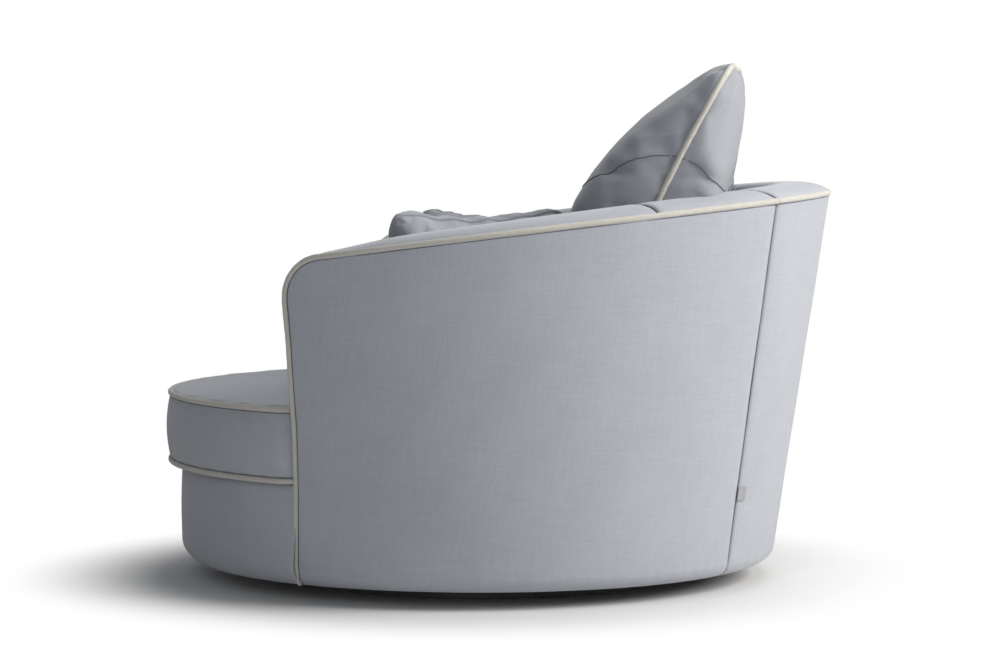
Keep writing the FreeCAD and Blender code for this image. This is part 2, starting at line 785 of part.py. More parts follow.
def make_parts():
    parts = {
        "floor_pad": make_floor_pad(),
        "swivel_plinth": make_plinth(),
        "lower_bearing_plate": bearing_plate(plinth_top),
        "upper_bearing_plate": bearing_plate(upper_plate_bottom),
        "glide_ring": make_glide_ring(),
        "pivot_pin": make_pivot(),
        "plinth_screws": make_screw_heads(lower_plate_top),
        "board_screws": make_screw_heads(upper_plate_bottom - SCREW_HEAD_T),
        "base_board": make_base_board(),
        "dust_cloth": make_dust_cloth(),
        "front_rail": make_front_rail(),
        "base_front_pad": make_base_front_pad(),
        "base_front_cover": make_base_front_cover(),
        "deck_ring": make_deck_ring(),
        "webbing_lengthways": make_webbing(False),
        "webbing_crossways": make_webbing(True),
        "deck_pad": make_deck_pad(),
        "deck_cloth": make_deck_cloth(),
        "wall_ribs": make_ribs(),
        "label_tab": make_label(),
        "seat_cushion": make_seat_cushion(),
        "seat_piping_top": make_seat_piping(seat_piping_high),
        "seat_piping_bottom": make_seat_piping(seat_piping_low),
    }
    make_wall(parts)
    make_pillows(parts)
    return parts


os.makedirs("parts", exist_ok=True)
for node, solid in make_parts().items():
    solid.exportStep("parts/" + node + ".step")
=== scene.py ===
"""Looks of the cuddle chair: upholstery, cushions, piping, light and camera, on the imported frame."""
import math

import bpy
import numpy as np
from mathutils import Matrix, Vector
from mathutils.bvhtree import BVHTree


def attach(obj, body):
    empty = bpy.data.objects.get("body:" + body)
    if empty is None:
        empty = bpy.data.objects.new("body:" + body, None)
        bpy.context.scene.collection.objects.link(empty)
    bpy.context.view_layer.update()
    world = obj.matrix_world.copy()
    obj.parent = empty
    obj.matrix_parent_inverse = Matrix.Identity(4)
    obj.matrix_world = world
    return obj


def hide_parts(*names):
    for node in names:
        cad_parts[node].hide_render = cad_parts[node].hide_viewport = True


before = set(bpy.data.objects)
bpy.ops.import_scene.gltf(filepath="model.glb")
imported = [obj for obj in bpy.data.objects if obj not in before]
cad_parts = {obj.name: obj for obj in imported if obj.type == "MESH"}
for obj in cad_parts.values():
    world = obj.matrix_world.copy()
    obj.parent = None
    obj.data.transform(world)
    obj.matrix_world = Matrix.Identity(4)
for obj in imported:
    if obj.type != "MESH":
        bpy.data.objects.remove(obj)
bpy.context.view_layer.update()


# Measures of the tub, in metres and degrees. Angles run from the rear, positive to the right.
FOOT_Z = 0.0298
SHELL_R = 0.520
SHELL_FLARE = 0.153
SHELL_ROUND = 0.025
INNER_R = 0.465
INNER_FLARE = 0.094
DECK_Z = 0.2052
SEAM_OUTSIDE = 30.2
SEAM_ROLL = 56.0
ROLL_IN = 0.057
ROLL_RISE = 0.018
LEFT_ROLL_FLATTER = 0.65
CORNER_LONG = 0.071
CORNER_HIGH = 0.068
BASE_R = 0.537
BASE_ROUND = 0.040
BASE_TOP_Z = 0.2056
HEM = 0.028
INNER_FOOT_Z = 0.194
RIM_LEVEL, RIM_TILT, RIM_DIP = 0.61904, 0.07616, 0.00901
RIM_TUCK = 0.002
RIM_LIFT = -0.0012
CORNER_Z = 0.55
CORNER_R = 0.59
ARM_MID_Z = 0.5
ROLL_STOPS_SHORT = 0.02
ARM_END_Z = [0.03, 0.067, 0.196, 0.299, 0.400, 0.443, 0.493, 0.70]
ARM_END_AT = [120.9, 120.75, 119.0, 118.1, 117.8, 117.6, 117.6, 117.5]
WALL_ROWS = 46

# Sewing: cords, dark lines of painted shade in the seams and under the cords, and how far a seam draws the
# cloth in.
PIPING_R = 0.0050
SELF_PIPING_R = 0.0038
SEAM_R = 0.0011
SHADE_LINE_R = 0.0008
PIPING_STEP = 0.006
SEAM_DEEP, SEAM_REACH = 0.0026, 0.0045
ROLL_SEAM_DEEP, ROLL_SEAM_REACH = 0.0035, 0.005
PANEL_PUFF, PUFF_REACH = 0.0012, 0.03

# Measures of the seat and the loose cushions.
SEAT_R = 0.560
SEAT_LOW = 0.2104
SEAT_HIGH = 0.3304
SEAT_CROWN = 0.0195
SEAT_CROWN_SPAN = 0.23
SEAT_TOP = 0.3587
SEAT_ARM_END = 118.3
SEAT_EAR, SEAT_CREASE, SEAT_ARM_GAP = 0.034, 0.006, 0.004
SEAT_WALL_GAP = 0.006
SEAT_STEP_IN = 0.012
SEAT_SIDE_ROWS = 25
PILLOW_HALF = 0.409
PILLOW_HEIGHT = 0.622
PILLOW_TOP_BOW = 0.010
PILLOW_DROOP = 0.022
PILLOW_BEND = 0.0055
PILLOW_LEAN = 27.0
PILLOW_FOOT_Y = 0.1786
PILLOW_S = [0.0, 0.05, 0.12, 0.2, 0.29, 0.35, 0.41, 0.47, 0.53, 0.575, 0.602, 0.622]
PILLOW_FRONT = [0.067, 0.095, 0.116, 0.128, 0.129, 0.121, 0.108, 0.091, 0.068, 0.049, 0.031, 0.0]
PILLOW_REAR = [0.046, 0.072, 0.089, 0.096, 0.096, 0.092, 0.085, 0.072, 0.052, 0.034, 0.020, 0.0]
PILLOW_ROWS, PILLOW_COLUMNS = 76, 96
PILLOW_CORE = (0.0, 0.31, 0.62)
ARCH_N = [-0.094, -0.086, -0.047, -0.0227, 0.0, 0.0539, 0.0966, 0.1326]
ARCH_S = [0.405, 0.4185, 0.436, 0.4415, 0.4405, 0.412, 0.364, 0.2975]
SCATTER_ROWS = 72
SCATTER_DEPTH = 0.078
SCATTER_BOW = 0.023
SCATTER_EAR = 0.013
SCATTER_LEAN = 24.0
SCATTERS = {
    "right": {"side": 1, "size": 0.338, "yaw": 34.0, "foot": (0.292, -0.036), "seed": 1.3},
    "left": {"side": -1, "size": 0.313, "yaw": 30.0, "foot": (0.304, -0.090), "seed": 2.9},
}

# Filling of the loose cushions by cloth simulation.
FILL_PRESSURE = 2.5
FILL_REACH = 0.007
FILL_FRAMES = 20
PILLOW_GROWTH = 0.03
SCATTER_GROWTH = 0.045

SIDES = (("right", 1), ("left", -1))
BODY = "chair_body"
COVER = "fabric_blue_grey"
PIPING = "piping_beige"


def sin(degrees):
    return math.sin(math.radians(degrees))


def cos(degrees):
    return math.cos(math.radians(degrees))


def outer_r(z):
    return SHELL_R + SHELL_FLARE * (z - FOOT_Z)


def inner_r(z):
    return INNER_R + INNER_FLARE * (z - INNER_FOOT_Z)


def arm_end(z):
    return float(np.interp(z, ARM_END_Z, ARM_END_AT))


def rim_z(angle):
    """Height of the rim piping, with the round drop at the arm's front corner."""
    c = cos(angle)
    z = RIM_LEVEL + RIM_TILT * c - RIM_DIP * c * c
    behind = math.radians(arm_end(CORNER_Z) - abs(angle)) * CORNER_R
    share = min(max(1 - behind / CORNER_LONG, 0.0), 1.0)
    return z - CORNER_HIGH * (1 - math.sqrt(1 - share * share))


def polar(r, angle, z):
    return (r * sin(angle), r * cos(angle), z)


def smooth(x, low, high):
    t = min(max((x - low) / (high - low), 0.0), 1.0)
    return t * t * (3 - 2 * t)


# Meshes

def add_mesh(name, verts, faces, weave, material):
    """A smooth mesh whose faces carry the cloth's own lengths in the attribute weave."""
    mesh = bpy.data.meshes.new(name)
    mesh.from_pydata([tuple(v) for v in verts], [], faces)
    mesh.polygons.foreach_set("use_smooth", [True] * len(mesh.polygons))
    if weave is not None:
        data = mesh.attributes.new("weave", "FLOAT_VECTOR", "CORNER")
        data.data.foreach_set("vector", np.asarray(weave, dtype=np.float32).ravel())
    mesh.update()
    obj = bpy.data.objects.new(name, mesh)
    bpy.context.scene.collection.objects.link(obj)
    obj.data.materials.append(material)
    return obj


def lengths(points, axis):
    """Running length along one direction of a grid of points."""
    steps = np.linalg.norm(np.diff(points, axis=axis), axis=2)
    zero = np.zeros((1, points.shape[1]) if axis == 0 else (points.shape[0], 1))
    return np.concatenate([zero, np.cumsum(steps, axis=axis)], axis=axis)


def grid(name, points, material, wrap_u=False, wrap_v=False, cloth=None, offset=0.0, caps=False):
    """A mesh through rows and columns of points; a wrapped direction closes on itself."""
    p = np.asarray(points, dtype=float)
    if wrap_u:
        p = np.concatenate([p, p[:1]], axis=0)
    if wrap_v:
        p = np.concatenate([p, p[:, :1]], axis=1)
    nu, nv = p.shape[0], p.shape[1]
    if cloth is None:
        u, v = lengths(p, 0), lengths(p, 1)
    else:
        u, v = cloth
    ku, kv = nu - (1 if wrap_u else 0), nv - (1 if wrap_v else 0)
    verts = p[:ku, :kv].reshape(-1, 3)
    faces, weave = [], []
    for i in range(nu - 1):
        for j in range(nv - 1):
            corners = ((i, j), (i + 1, j), (i + 1, j + 1), (i, j + 1))
            faces.append([(a % ku) * kv + (b % kv) for a, b in corners])
            weave.extend((u[a, b] + offset, v[a, b] + 0.37 * offset, offset) for a, b in corners)
    if caps:
        for row in (0, ku - 1):
            face = [row * kv + b for b in range(kv)]
            faces.append(face[::-1] if row == 0 else face)
            weave.extend((u[row, b] + offset, v[row, b] + 0.37 * offset, offset) for b in range(kv))
    return add_mesh(name, verts, faces, weave, material)


def sheet(name, points, material, thickness=0.003, inward=1.0, offset=0.0):
    """A panel of cloth with its own back, so that it's closed all round."""
    p = np.asarray(points, dtype=float)
    du, dv = np.gradient(p, axis=0), np.gradient(p, axis=1)
    n = np.cross(du, dv)
    n /= np.maximum(np.linalg.norm(n, axis=2, keepdims=True), 1e-9)
    back = p + n * thickness * inward
    both = np.concatenate([p, back[::-1]], axis=0)
    u, v = (np.concatenate([run, run[::-1], run[:1]], axis=0) for run in (lengths(p, 0), lengths(p, 1)))
    return grid(name, both, material, wrap_u=True, cloth=(u, v), offset=offset)


def tube(name, path, radius, material, closed=False, sides=12, offset=0.0):
    """A round cord along a path, with a little unevenness of hand sewing."""
    p = np.asarray(path, dtype=float)
    n = len(p)
    if closed:
        t = np.roll(p, -1, axis=0) - np.roll(p, 1, axis=0)
    else:
        t = np.gradient(p, axis=0)
    t /= np.linalg.norm(t, axis=1, keepdims=True)
    side = np.cross(t[0], (0.0, 0.0, 1.0))
    if np.linalg.norm(side) < 0.2:
        side = np.cross(t[0], (1.0, 0.0, 0.0))
    rows = []
    for i in range(n):
        side = side - t[i] * np.dot(side, t[i])
        side /= np.linalg.norm(side)
        up = np.cross(side, t[i])
        a = np.arange(sides) * 2 * math.pi / sides
        r = radius * (1 + 0.03 * math.sin(i * 1.7 + offset) + 0.02 * math.sin(i * 0.61))
        rows.append(p[i] + r * (np.outer(np.cos(a), side) + np.outer(np.sin(a), up)))
    rows = np.array(rows)
    if not closed:
        first, last = (end.mean(axis=0) + (end - end.mean(axis=0)) * 0.02 for end in (rows[0], rows[-1]))
        rows = np.concatenate([[first], rows, [last]])
    return grid(name, rows, material, wrap_u=closed, wrap_v=True, offset=offset)


def evenly(path, step, closed=False):
    """The same path with points at equal steps."""
    p = np.asarray(path, dtype=float)
    if closed:
        p = np.concatenate([p, p[:1]])
    d = np.concatenate([[0], np.cumsum(np.linalg.norm(np.diff(p, axis=0), axis=1))])
    count = max(int(d[-1] / step), 4)
    at = np.linspace(0, d[-1], count + 1)
    out = np.stack([np.interp(at, d, p[:, k]) for k in range(p.shape[1])], axis=1)
    return out[:-1] if closed else out


# Materials

class Graph:
    """Builds the nodes of one material or world."""

    def __init__(self, owner):
        self.owner = owner
        owner.use_nodes = True
        self.tree = owner.node_tree
        self.tree.nodes.clear()

    def add(self, kind, inputs=None, **settings):
        node = self.tree.nodes.new(kind)
        for key, value in settings.items():
            setattr(node, key, value)
        for key, value in (inputs or {}).items():
            if isinstance(value, bpy.types.NodeSocket):
                self.tree.links.new(value, node.inputs[key])
            else:
                node.inputs[key].default_value = value
        return node

    def math(self, operation, a, b=0.0):
        return self.add("ShaderNodeMath", {0: a, 1: b}, operation=operation).outputs[0]

    def scaled(self, vector, scale):
        node = self.add("ShaderNodeVectorMath", {0: vector, 1: scale}, operation="MULTIPLY")
        return node.outputs[0]

    def noise(self, vector, scale, detail=2.0, rough=0.5):
        inputs = {"Vector": vector, "Scale": scale, "Detail": detail, "Roughness": rough}
        return self.add("ShaderNodeTexNoise", inputs).outputs["Fac"]

    def spread(self, value, low, high):
        """A 0 to 1 value about 0.5 mapped to low..high."""
        inputs = {"Value": value, "From Min": 0.3, "From Max": 0.7, "To Min": low, "To Max": high}
        return self.add("ShaderNodeMapRange", inputs).outputs["Result"]

    def tint(self, colour, factor):
        node = self.add("ShaderNodeVectorMath", {0: colour, "Scale": factor}, operation="SCALE")
        return node.outputs[0]

    def finish(self, colour, rough, normal=None, **extra):
        inputs = {"Base Color": colour, "Roughness": rough}
        if normal is not None:
            inputs["Normal"] = normal
        shader = self.add("ShaderNodeBsdfPrincipled", inputs)
        for key, value in extra.items():
            shader.inputs[key.replace("_", " ")].default_value = value
        out = self.add("ShaderNodeOutputMaterial")
        self.tree.links.new(shader.outputs[0], out.inputs[0])
        return self.owner


def material_graph(name):
    return Graph(bpy.data.materials.new(name))


def cloth_coordinates(g, woven):
    if woven:
        return g.add("ShaderNodeAttribute", attribute_name="weave").outputs["Vector"]
    return g.add("ShaderNodeTexCoord").outputs["Object"]


def fabric(name, colour, woven=True, slub=0.045, tone=0.05, pitch=0.0011, bump=0.25, sheen=0.25):
    """Plain woven upholstery cloth: threads both ways, slubs, soft blotches and a light nap."""
    g = material_graph(name)
    at = cloth_coordinates(g, woven)
    along = g.noise(g.scaled(at, (24.0, 620.0, 24.0)), 1.0, 3.0, 0.62)
    across = g.noise(g.scaled(at, (620.0, 24.0, 24.0)), 1.0, 3.0, 0.62)
    blotch = g.noise(at, 7.0, 3.0, 0.55)
    fleck = g.noise(at, 420.0, 2.0, 0.6)
    wear = g.noise(at, 2.1, 2.0, 0.5)
    shade = g.spread(along, 1 - slub, 1 + slub)
    for value, about in ((across, slub), (blotch, tone * 0.5), (fleck, slub * 0.5), (wear, tone * 0.4)):
        shade = g.math("MULTIPLY", shade, g.spread(value, 1 - about, 1 + about))
    split = g.add("ShaderNodeSeparateXYZ", {0: at})
    turn = 2 * math.pi / pitch
    wave_u = g.math("SINE", g.math("MULTIPLY", split.outputs[0], turn))
    wave_v = g.math("SINE", g.math("MULTIPLY", split.outputs[1], turn))
    threads = g.math("ADD", g.math("MULTIPLY", wave_u, 0.5), g.math("MULTIPLY", wave_v, 0.5))
    height = g.math("ADD", g.math("MULTIPLY", threads, 0.35), g.math("ADD", along, across))
    bumped = g.add("ShaderNodeBump", {"Strength": bump, "Distance": 0.0006, "Height": height})
    rough = g.spread(fleck, 0.84, 0.94)
    return g.finish(g.tint(colour, shade), rough, bumped.outputs[0], Sheen_Weight=sheen,
                    Sheen_Roughness=0.45, Specular_IOR_Level=0.22)


def timber(name, colour):
    g = material_graph(name)
    at = g.add("ShaderNodeTexCoord").outputs["Object"]
    grain = g.noise(g.scaled(at, (9.0, 90.0, 90.0)), 1.0, 4.0, 0.6)
    board = g.noise(at, 3.0, 2.0, 0.5)
    shade = g.math("MULTIPLY", g.spread(grain, 0.82, 1.12), g.spread(board, 0.92, 1.06))
    bumped = g.add("ShaderNodeBump", {"Strength": 0.2, "Distance": 0.0005, "Height": grain})
    return g.finish(g.tint(colour, shade), g.spread(grain, 0.55, 0.72), bumped.outputs[0])


def hard(name, colour, rough, metallic=0.0):
    """Painted, moulded or bare metal surface with fine scuffs and a little dust."""
    g = material_graph(name)
    at = g.add("ShaderNodeTexCoord").outputs["Object"]
    scuff = g.noise(g.scaled(at, (40.0, 400.0, 40.0)), 1.0, 3.0, 0.6)
    dust = g.noise(at, 12.0, 3.0, 0.6)
    shade = g.math("MULTIPLY", g.spread(scuff, 0.94, 1.06), g.spread(dust, 0.9, 1.12))
    bumped = g.add("ShaderNodeBump", {"Strength": 0.08, "Distance": 0.0003, "Height": scuff})
    shine = g.spread(dust, rough - 0.06, rough + 0.08)
    return g.finish(g.tint(colour, shade), shine, bumped.outputs[0], Metallic=metallic)


BLUE_GREY = (0.318, 0.331, 0.363)
# Painted shade: the scatter cushions get a darker copy of the blue-grey cloth for the shade they sit in.
BLUE_GREY_PAINTED_SHADE = (0.255, 0.266, 0.293)
# Painted shade: the back pillow gets a darker copy of the blue-grey cloth, standing in for the shade on its
# sides.
BLUE_GREY_PILLOW_PAINTED_SHADE = (0.245, 0.256, 0.281)
CREAM = (0.425, 0.405, 0.366)
cover = fabric("cover_cloth", BLUE_GREY)
cover_scatter_painted_shade = fabric("scatter_cloth_painted_shade", BLUE_GREY_PAINTED_SHADE)
cover_pillow_painted_shade = fabric("pillow_cloth_painted_shade", BLUE_GREY_PILLOW_PAINTED_SHADE)
cover_dark = fabric("deck_cloth_finish", (0.075, 0.082, 0.098), slub=0.08)
cream = fabric("piping_cloth", CREAM, slub=0.07, pitch=0.0009, bump=0.3, tone=0.04)
# Painted shade: a dark cloth for thin lines laid in the seams and just beside the cords, where shade falls
# in the creases.
seam_shade_cloth = fabric("seam_shade", (0.115, 0.122, 0.14), slub=0.05, bump=0.1, sheen=0.05)
label_white = fabric("label_tape", (0.27, 0.272, 0.28), slub=0.03, pitch=0.0006, bump=0.15)

CAD_FINISH = {
    "frame_wood": timber("frame_wood_finish", (0.42, 0.29, 0.17)),
    # Painted shade: the base board is near-black so the strip seen under the hem stays dark like the shade
    # there; it also stands in for the black dust cloth.
    "board_painted_shade": timber("board_shade_painted_finish", (0.11, 0.108, 0.105)),
    "plinth_black": hard("plinth_finish", (0.012, 0.012, 0.013), 0.5),
    "pad_black": hard("pad_finish", (0.02, 0.02, 0.021), 0.7),
    "bearing_steel": hard("bearing_finish", (0.52, 0.53, 0.55), 0.32, 1.0),
    "glide_nylon": hard("glide_finish", (0.72, 0.71, 0.68), 0.45),
    "webbing": fabric("webbing_finish", (0.22, 0.17, 0.11), woven=False, pitch=0.002, bump=0.4),
    "dust_cloth": fabric("dust_cloth_finish", (0.03, 0.03, 0.033), woven=False, slub=0.05),
    "foam": fabric("foam_finish", (0.62, 0.58, 0.42), woven=False, slub=0.04, bump=0.2),
    "wadding": fabric("wadding_finish", (0.70, 0.70, 0.68), woven=False, slub=0.04, bump=0.2),
}
NODE_SLOT = {
    "floor_pad": "pad_black", "swivel_plinth": "plinth_black", "lower_bearing_plate": "bearing_steel",
    "glide_ring": "glide_nylon", "pivot_pin": "bearing_steel", "plinth_screws": "bearing_steel",
    "upper_bearing_plate": "bearing_steel", "board_screws": "bearing_steel", "base_board": "board_painted_shade",
    "dust_cloth": "dust_cloth", "front_rail": "frame_wood", "deck_ring": "frame_wood",
    "webbing_lengthways": "webbing", "webbing_crossways": "webbing", "wall_ribs": "frame_wood",
    "back_top_rail": "frame_wood", "arm_top_rail_right": "frame_wood", "arm_top_rail_left": "frame_wood",
}


def finish_cad_nodes():
    for name, slot in NODE_SLOT.items():
        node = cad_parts[name]
        node.data.materials.clear()
        node.data.materials.append(CAD_FINISH[slot])


def seat_on(obj, body, slot, *nodes):
    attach(obj, body)
    if nodes:
        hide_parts(*nodes)
    return obj


# Tub

def foot_rows(rounding, hem, steps=8):
    """(distance in from the edge, height above the foot) from the hem round to the wall."""
    rows = [(rounding + hem, 0.0), (rounding + hem * 0.5, 0.0)]
    for k in range(steps + 1):
        a = 90.0 * k / steps
        rows.append((rounding * (1 - sin(a)), rounding * (1 - cos(a))))
    return rows


def sunk(distance, deep, reach):
    """How far the cloth is drawn in at a distance from a seam."""
    return deep * math.exp(-((distance / reach) ** 2))


def wall_z(angle, share):
    """Height at a share of the way from the rounded foot up to the rim."""
    foot = FOOT_Z + SHELL_ROUND
    return foot + share * (rim_z(angle) - RIM_TUCK - foot)


def outside_wave(angle, z):
    """Unevenness of the outside cloth: long soft waves, and short ones near the hem."""
    long_wave = 0.0005 * math.sin(angle * 0.35 + z * 9) * math.sin(z * 21 + angle * 0.11)
    at_hem = math.exp(-abs(z - FOOT_Z - 0.02) / 0.012)
    return long_wave + 0.0007 * math.sin(angle * 2.1 + math.sin(angle * 0.7)) * at_hem


def outside_points(start, end_of, side, seam_start, seam_end, columns):
    """Outside panel between two edges, drawn in a little along its seams, with a soft puff."""
    rows = [(inset, FOOT_Z + h, None) for inset, h in foot_rows(SHELL_ROUND, HEM)]
    rows += [(0.0, None, (k + 1) / WALL_ROWS) for k in range(WALL_ROWS)]
    points = []
    for c in range(columns + 1):
        s = c / columns
        column = []
        for inset, z, share in rows:
            if z is None:
                z = wall_z(start + s * (end_of(0.3) - start), share)
                angle = start + s * (end_of(z) - start)
                z = wall_z(min(angle, end_of(z) - 0.01), share)
            angle = start + s * (end_of(z) - start)
            r = outer_r(z) - inset
            from_start = math.radians(abs(angle - start)) * r
            from_end = math.radians(abs(end_of(z) - angle)) * r
            dip = sunk(from_start, SEAM_DEEP, SEAM_REACH) if seam_start else 0.0
            if seam_end:
                dip += sunk(from_end, SEAM_DEEP, SEAM_REACH)
            puff = PANEL_PUFF * (1 - math.exp(-(min(from_start, from_end) / PUFF_REACH) ** 2))
            column.append(polar(r - dip + puff + outside_wave(angle, z), side * angle, z))
        points.append(column)
    return points


def outside_panels():
    back = outside_points(-SEAM_OUTSIDE, lambda z: SEAM_OUTSIDE, 1, True, True, 64)
    obj = sheet("outside_back", back, cover, inward=1.0, offset=0.4)
    seat_on(obj, BODY, COVER, "outside_back_cover", "outside_back_lining")
    for name, side in SIDES:
        points = outside_points(SEAM_OUTSIDE, arm_end, side, True, False, 96)
        obj = sheet("outside_" + name, points, cover, inward=float(side), offset=1.1 * side)
        seat_on(obj, BODY, COVER, "outside_cover_" + name, "outside_lining_" + name)
        path = [polar(outer_r(z) - SEAM_DEEP + 0.0004, side * SEAM_OUTSIDE, z)
                for z in np.linspace(FOOT_Z + SHELL_ROUND, rim_z(SEAM_OUTSIDE) - RIM_TUCK, 60)]
        # Painted shade: a dark line laid in the sunk outside seam.
        line = tube("outside_seam_" + name, path, SEAM_R, seam_shade_cloth, sides=6)
        seat_on(line, BODY, COVER)


def roll_profile(angle, side, steps_in=30, steps_top=22):
    """(radius, height) from the deck up the inside, over the padded roll and out to the rim."""
    top = rim_z(angle)
    rim_r = outer_r(top)
    crown_r = rim_r - ROLL_IN
    rise = ROLL_RISE * (1 - 0.6 * smooth(angle, 96, 115))
    if side < 0:
        rise *= 1 - LEFT_ROLL_FLATTER * smooth(angle, 46, 70)
    crown_z = top + rise
    turn_z = crown_z - 0.050
    in_r = inner_r(turn_z)
    rows = []
    for k in range(steps_in):
        z = DECK_Z - 0.004 + (turn_z - DECK_Z + 0.004) * k / steps_in
        full = math.sin(math.pi * k / steps_in)
        rows.append((inner_r(z) - 0.004 * full, z))
    for k in range(steps_top + 1):
        a = 90.0 * k / steps_top
        rows.append((crown_r - (crown_r - in_r) * max(cos(a), 0.0) ** 0.55,
                     turn_z + (crown_z - turn_z) * sin(a) ** 0.60))
    drop = crown_z - top + 0.001
    for k in range(1, 15):
        a = 90.0 * k / 14
        rows.append((crown_r + (rim_r - 0.001 - crown_r) * sin(a), crown_z - drop * (1 - cos(a))))
    return rows


def inside_wave(angle, z, edge):
    """Unevenness of the inside cloth: pulls beside the seams and long soft waves."""
    pull = 0.0012 * math.exp(-edge / 0.035) * math.sin(z * 150 + angle)
    return pull + 0.0012 * math.sin(angle * 0.21 + 3 * z) * math.sin(z * 14 + angle * 0.07)


def inner_panel(name, start, end, side, columns, seams, nodes, offset):
    """Inside cover between two edges, from the deck over the roll, sunk along its seams."""
    points = []
    for c in range(columns + 1):
        angle = start + (end - start) * c / columns
        rows = roll_profile(abs(angle), side)
        column = []
        for k, (r, z) in enumerate(rows):
            to_rim = len(rows) - k
            edge = min(math.radians(abs(angle - seam)) * r for seam in seams)
            dip = sunk(edge, ROLL_SEAM_DEEP, ROLL_SEAM_REACH)
            share = min(1.0, (to_rim - 1) / 6)
            down = dip * share * min(1.0, (30 - to_rim) / 8) if to_rim < 30 else 0.0
            out = (dip + inside_wave(angle, z, edge)) * share * (1 if to_rim > 20 else 0.2)
            column.append(polar(r + out, side * angle, z - down))
        points.append(column)
    obj = sheet(name, points, cover, inward=-1.0 * side, offset=offset)
    seat_on(obj, BODY, COVER, *nodes)


def roll_seam(name, angle, side):
    # Painted shade: a dark line laid in the roll's seam.
    path = [polar(r + 0.0026, side * angle, z - 0.0026) for r, z in roll_profile(angle, side)[2:-1]]
    seat_on(tube(name, path, SEAM_R, seam_shade_cloth, sides=6), BODY, COVER)


def inside_panels():
    s0, s1 = SEAM_OUTSIDE, SEAM_ROLL
    arm_stop = arm_end(ARM_MID_Z) - ROLL_STOPS_SHORT
    inner_panel("inside_back", -s0, s0, 1, 60, (-s0, s0), ("inside_back_cover", "back_foam"), 2.3)
    for name, side in SIDES:
        inner_panel("corner_" + name, s0, s1, side, 32, (s0, s1), ("corner_cover_" + name,), 3.1 * side)
        inner_panel("arm_inside_" + name, s1, arm_stop, side, 80, (s1,),
                    ("arm_cover_" + name, "arm_foam_" + name), 4.2 * side)
        roll_seam("roll_seam_rear_" + name, s0, side)
        roll_seam("roll_seam_side_" + name, s1, side)


def arm_end_grid(side, back, inset, puff_depth, across=26, up=40):
    """Grid across the end of the arm: set back in degrees, drawn in from its edges, puffed out."""
    rows = roll_profile(arm_end(ARM_MID_Z) - ROLL_STOPS_SHORT, side)
    tops_r, tops_z = zip(*rows[20:])
    reach_in, reach_out = inner_r(ARM_MID_Z), rows[-1][0]
    foot = FOOT_Z + 0.006
    points = []
    for i in range(across + 1):
        u = i / across
        top = float(np.interp(reach_out + (reach_in - reach_out) * u, tops_r, tops_z)) - inset * 1.6
        column = []
        for k in range(up + 1):
            t = k / up
            z = foot + inset + t * (top - foot - inset)
            r_out, r_in = outer_r(z) - 0.001 - inset, inner_r(max(z, 0.19)) + inset
            r = r_out + (r_in - r_out) * u
            edge = min(u, 1 - u) * (r_out - r_in)
            low_top = math.sin(math.pi * min(1.0, (1 - t) * 12 + 0.02) / 2)
            puff = puff_depth * (1 - math.exp(-edge / 0.02)) * low_top
            angle = arm_end(z) - back
            x, y, _ = polar(r, angle, z)
            column.append((side * (x + puff * cos(angle)), y - puff * sin(angle), z))
        points.append(column)
    return points


def arm_front(name, side):
    """Padded face across the end of the arm and the board behind it."""
    face = arm_end_grid(side, 0.0, 0.0, 0.007)
    obj = sheet("arm_front_" + name, face, cover, inward=-1.0 * side, offset=5.3 * side)
    seat_on(obj, BODY, COVER, "arm_front_cover_" + name, "arm_front_pad_" + name)
    board = arm_end_grid(side, 1.6, 0.016, 0.0, 8, 20)
    wood = CAD_FINISH["frame_wood"]
    panel = sheet("arm_board_" + name, board, wood, thickness=0.018, inward=-1.0 * side)
    seat_on(panel, BODY, "frame_wood", "arm_front_board_" + name)


def rim_point(angle, side=1):
    z = rim_z(angle)
    return polar(outer_r(z) + RIM_LIFT, side * angle, z)


def arm_rim_path(side):
    """Piping along the arm's rim, round its top corner and down the front edge to the foot."""
    stop = arm_end(CORNER_Z)
    last = stop - 0.002
    angles = list(np.linspace(SEAM_OUTSIDE, stop - 7, 110)) + list(np.linspace(stop - 6.9, last, 60))
    path = [rim_point(angle, side) for angle in angles]
    for z in np.linspace(rim_z(last) - 0.004, FOOT_Z + 0.012, 90):
        r = outer_r(z) + RIM_LIFT - 0.03 * max(0.0, FOOT_Z + SHELL_ROUND - z)
        path.append(polar(r, side * arm_end(z), z))
    x, y, _ = path[-1]
    path.append((x * 0.985, y * 0.985, FOOT_Z + 0.003))
    return evenly(path, PIPING_STEP)


def beside(path, reach, lift):
    """A line on the outside panel beside the piping: reach along the cloth, lift off it."""
    p = np.asarray(path)
    t = np.gradient(p, axis=0)
    t /= np.linalg.norm(t, axis=1, keepdims=True)
    out = np.stack([p[:, 0], p[:, 1], np.zeros(len(p))], axis=1)
    out /= np.linalg.norm(out, axis=1, keepdims=True)
    across = np.cross(t, out)
    across *= -np.sign(across[0, 2])
    return p + across * reach + out * lift


def rim_piping():
    """Contrast piping of the rim, with a dark line of painted shade along its seam below it."""
    back = evenly([rim_point(angle) for angle in np.linspace(-SEAM_OUTSIDE, SEAM_OUTSIDE, 100)], PIPING_STEP)
    runs = [("back", back, 0.0, ("back_rim_piping",))]
    for name, side in SIDES:
        nodes = ("arm_rim_piping_" + name, "arm_front_piping_" + name)
        runs.append((name, arm_rim_path(side), 0.7 * side, nodes))
    for name, path, offset, nodes in runs:
        cord = tube("rim_piping_" + name, path, PIPING_R, cream, offset=offset)
        seat_on(cord, BODY, PIPING, *nodes)
        # Painted shade: a dark line on the cloth just below the rim piping.
        shade_strip = beside(path, PIPING_R + 0.0008, 0.0014)
        seat_on(tube("rim_shade_line_" + name, shade_strip, SHADE_LINE_R, seam_shade_cloth, sides=6), BODY, COVER)


